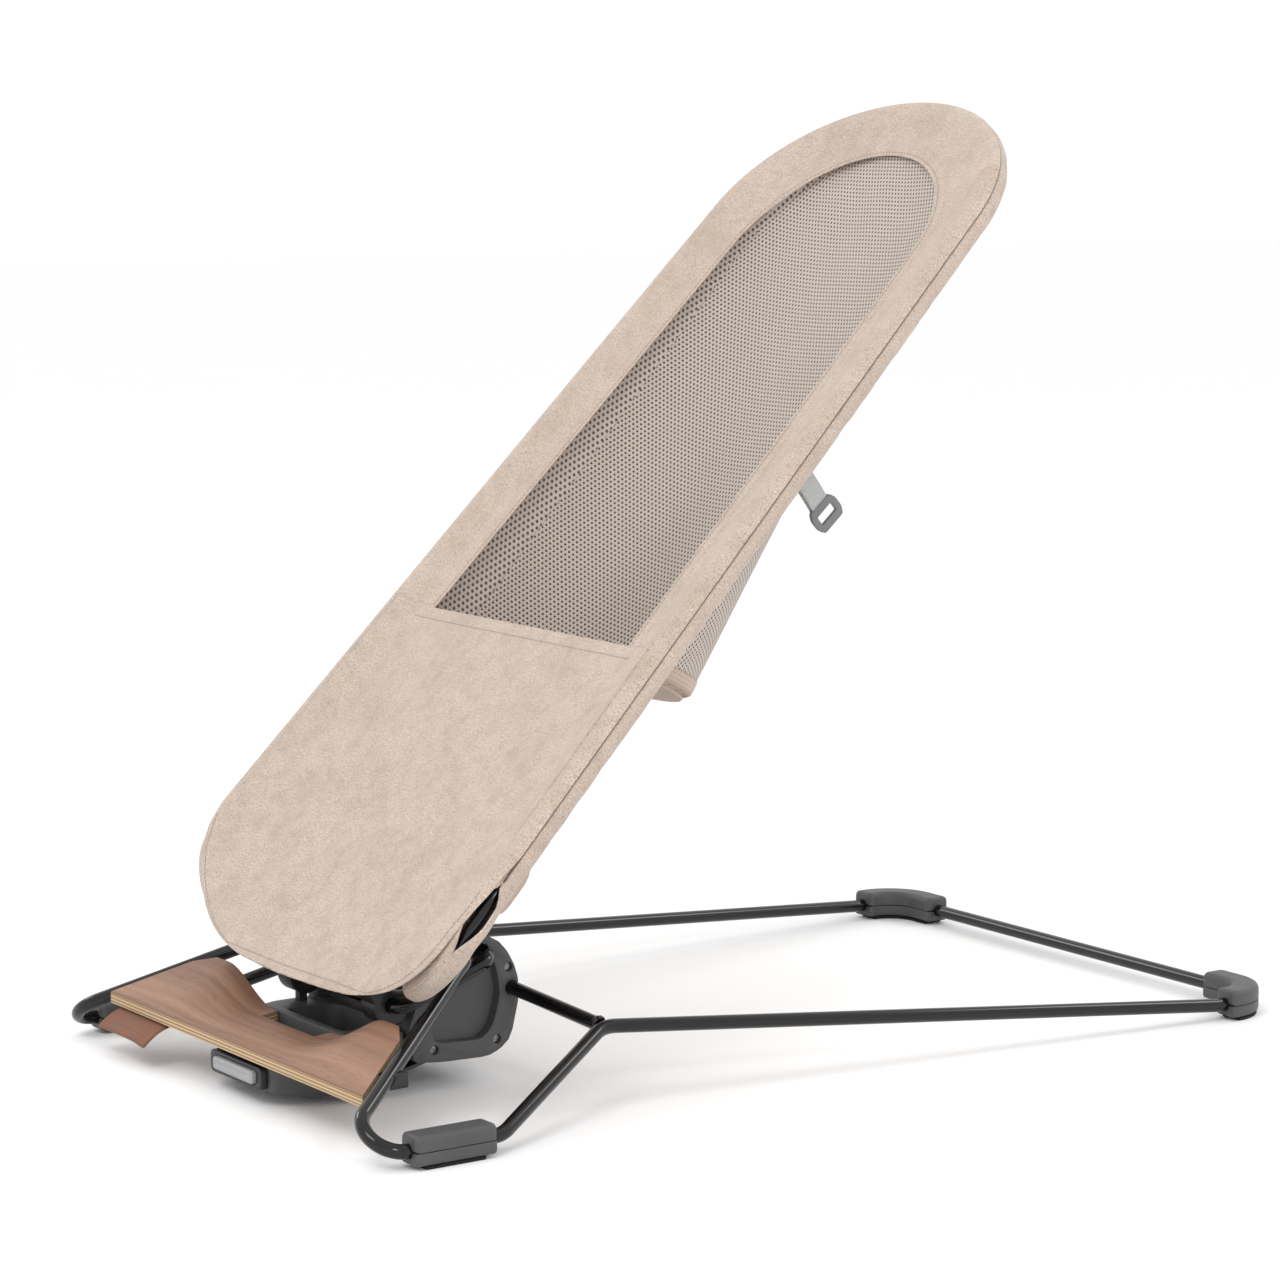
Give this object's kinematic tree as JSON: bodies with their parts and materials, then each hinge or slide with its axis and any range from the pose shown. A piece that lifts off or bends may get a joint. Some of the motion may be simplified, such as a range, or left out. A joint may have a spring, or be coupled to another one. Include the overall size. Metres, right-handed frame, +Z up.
{
  "type": "baby bouncer seat",
  "caption": "Baby bouncer: wire base on rubber feet, wooden foot board, hub with release button, and a fabric sling seat that bounces and folds flat.",
  "frame": {"origin": "on the floor, under the middle of the object's box", "axes": "+Z up; +Y from the foot board towards the head end; +X to the right of someone facing along +Y"},
  "size_m": [0.439, 0.7408, 0.6381],
  "materials": {
    "tube": "gloss black powder coat",
    "plastic": "satin, fine moulded grain",
    "dark_plastic": "satin",
    "rubber": "matte",
    "button": "satin",
    "steel": "zinc plated",
    "walnut": "oiled veneer over pale ply",
    "leather": "vegetable tanned",
    "cloth": "heathered melange twill",
    "mesh": "open spacer mesh",
    "knit": "ribbed knit",
    "webbing": "woven webbing"
  },
  "bodies": {
    "base": {"right_front_arm": "tube", "left_front_arm": "tube", "right_side_rail": "tube", "left_side_rail": "tube", "right_strut": "tube", "left_strut": "tube", "rear_cross_tube": "tube", "right_front_foot_upper": "plastic", "left_front_foot_upper": "plastic", "right_front_foot_lower": "plastic", "left_front_foot_lower": "plastic", "right_front_foot_sole": "rubber", "left_front_foot_sole": "rubber", "right_rear_elbow_upper": "plastic", "left_rear_elbow_upper": "plastic", "right_rear_elbow_lower": "plastic", "left_rear_elbow_lower": "plastic", "right_rear_elbow_sole": "rubber", "left_rear_elbow_sole": "rubber", "foot_board": "walnut", "leather_tag": "leather", "right_board_clip": "dark_plastic", "left_board_clip": "dark_plastic", "housing_lower": "plastic", "housing_upper": "plastic", "button_bezel": "dark_plastic", "right_hub_cover": "plastic", "left_hub_cover": "plastic", "right_hub_screw_1": "steel", "left_hub_screw_1": "steel", "right_hub_screw_2": "steel", "left_hub_screw_2": "steel", "right_hub_screw_3": "steel", "left_hub_screw_3": "steel", "right_latch_spring": "steel", "left_latch_spring": "steel", "spring_bail": "tube"},
    "carrier": {"right_seat_saddle": "dark_plastic", "left_seat_saddle": "dark_plastic"},
    "seat": {"seat_frame_upper": "tube", "seat_frame_lower": "tube", "rail_sleeve": "cloth", "seat_panel": "cloth", "mesh_sling": "mesh", "seat_pouch": "knit", "right_strap": "webbing", "left_strap": "webbing", "right_strap_tab": "plastic", "left_strap_tab": "plastic"},
    "button": {"release_button": "button", "push_rod": "dark_plastic"},
    "latch": {"right_latch_bolt": "dark_plastic", "left_latch_bolt": "dark_plastic"}
  },
  "joints": [
    {"name": "seat_fold", "type": "hinge", "parent": "base", "child": "carrier", "pos_m": [0, -0.26964, 0.062], "axis": [1, 0, 0], "range_deg": [-40, 0]},
    {"name": "seat_bounce", "type": "hinge", "parent": "carrier", "child": "seat", "pos_m": [0, -0.28213, 0.07958], "axis": [1, 0, 0], "range_deg": [-5, 4], "stiffness_Nm_per_rad": 120, "springref_deg": 2.58},
    {"name": "button_press", "type": "slide", "parent": "base", "child": "button", "axis": [0, 1, 0], "range_m": [0, 0.006], "stiffness_N_per_m": 250, "springref_m": -0.002},
    {"name": "latch_slide", "type": "slide", "parent": "base", "child": "latch", "axis": [0, 0, 1], "range_m": [-0.006, 0], "stiffness_N_per_m": 200, "springref_m": 0.002, "deforming": ["right_latch_spring", "left_latch_spring"]}
  ],
  "couplings": [
    {"joint": "latch_slide", "follows": "button_press", "ratio": -1}
  ]
}
